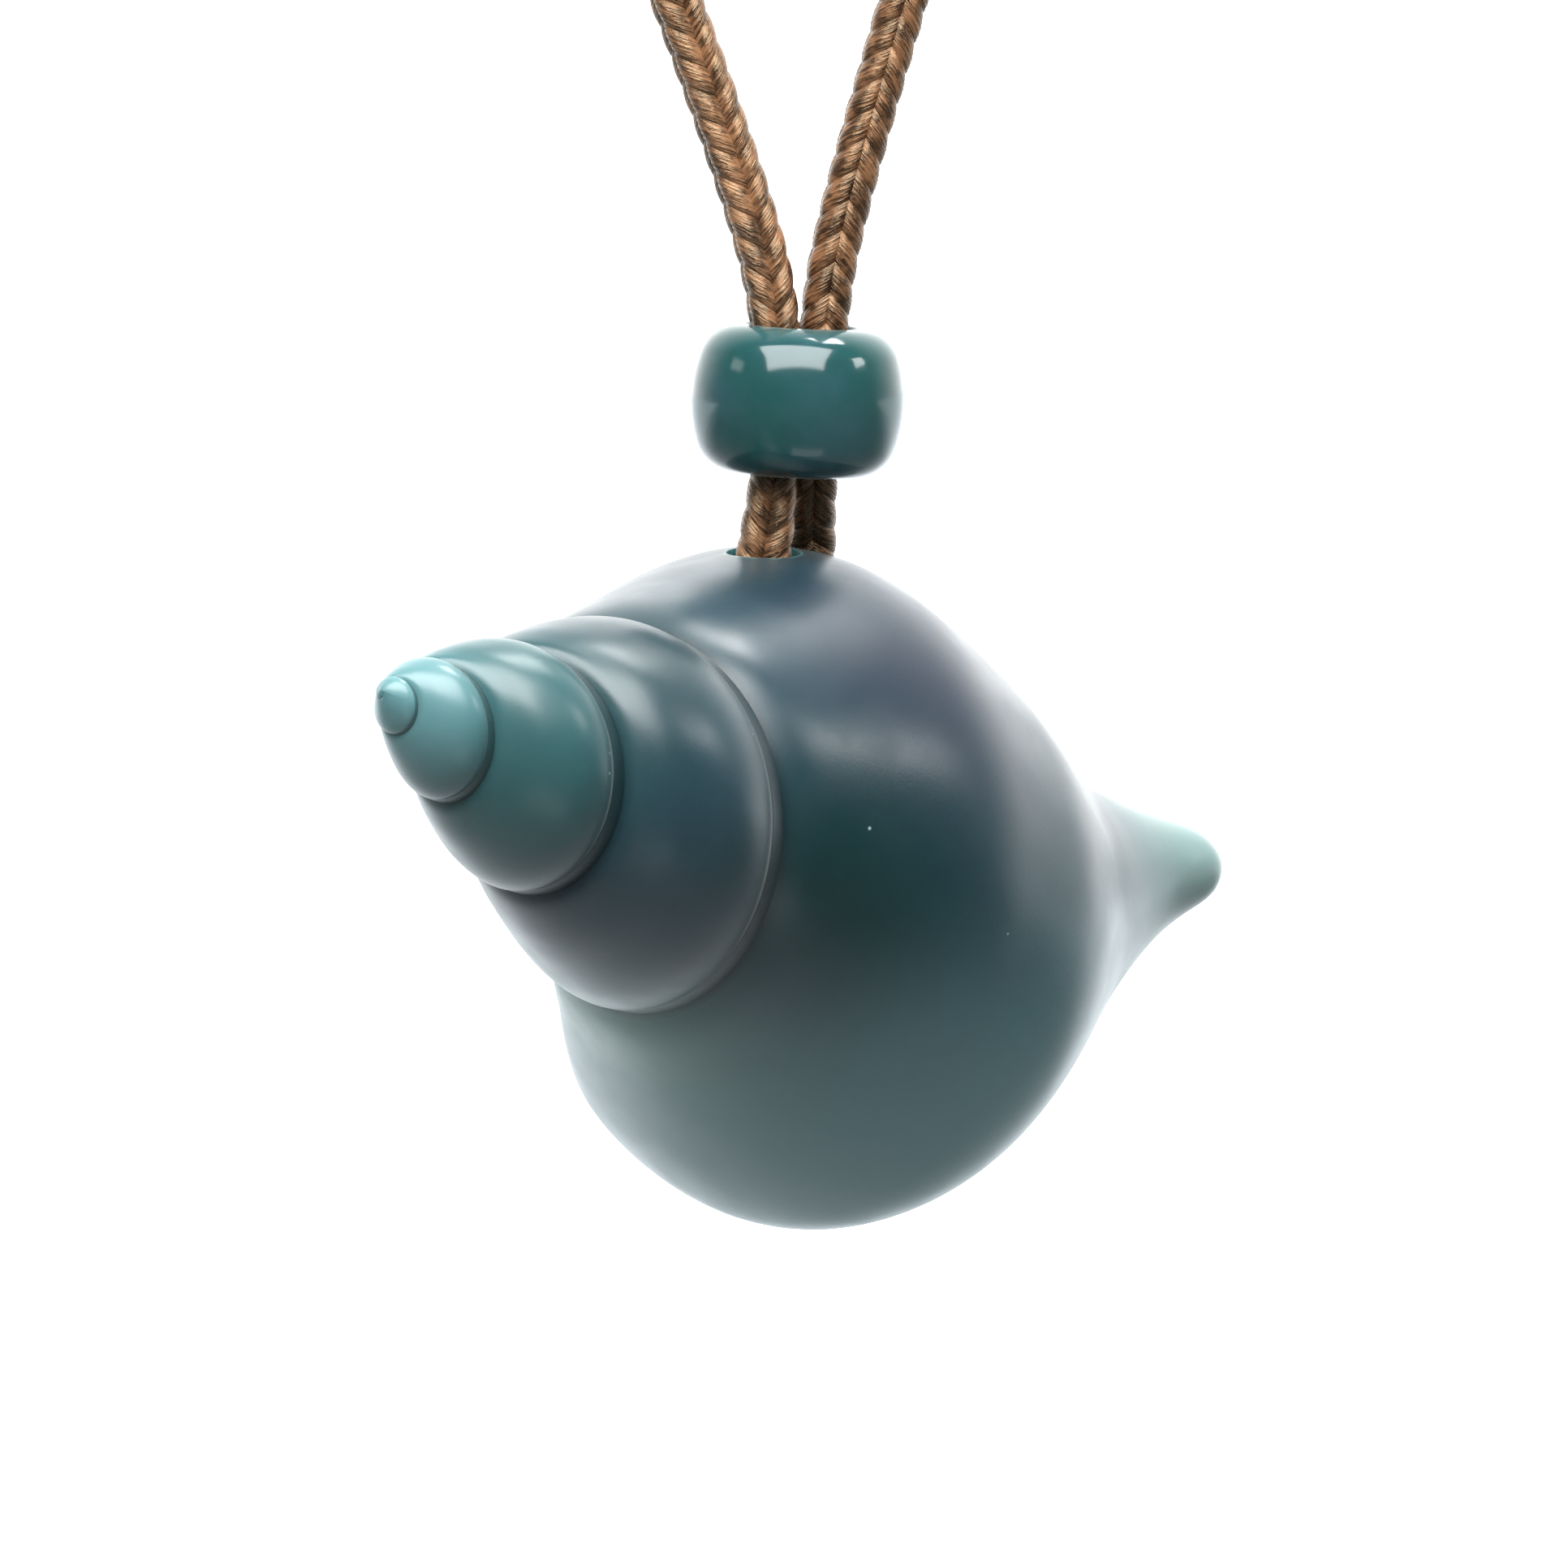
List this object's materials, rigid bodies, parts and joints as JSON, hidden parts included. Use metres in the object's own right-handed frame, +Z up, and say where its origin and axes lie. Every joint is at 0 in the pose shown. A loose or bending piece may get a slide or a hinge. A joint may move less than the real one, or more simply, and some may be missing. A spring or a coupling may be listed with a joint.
{
  "type": "shell pendant on a braided cord",
  "caption": "Carved stone sea-snail shell hanging from a braided neck cord, with a drilled stone bead that gathers the strands above it.",
  "frame": {"origin": "where the loop rests at the nape: the underside of the closure, at the middle of its length", "axes": "+Z up, along the hang of the pendant; +X to the right as seen from the front; -Y is the front, towards the one who looks at the wearer"},
  "size_m": [0.1304, 0.0382, 0.3042],
  "materials": {
    "carved_stone": "satin blue-green jade, carved, darker in the grooves and paler at the thin tips",
    "polished_stone": "polished blue-green jade with a clear gloss",
    "braided_cord": "round braid of glossy bronze-brown yarns",
    "joiner_metal": "darkened brass, plain satin barrel"
  },
  "bodies": {
    "root": {"shell": "carved_stone", "bead": "polished_stone", "cord": "braided_cord", "cord_joiner": "joiner_metal"}
  },
  "joints": []
}
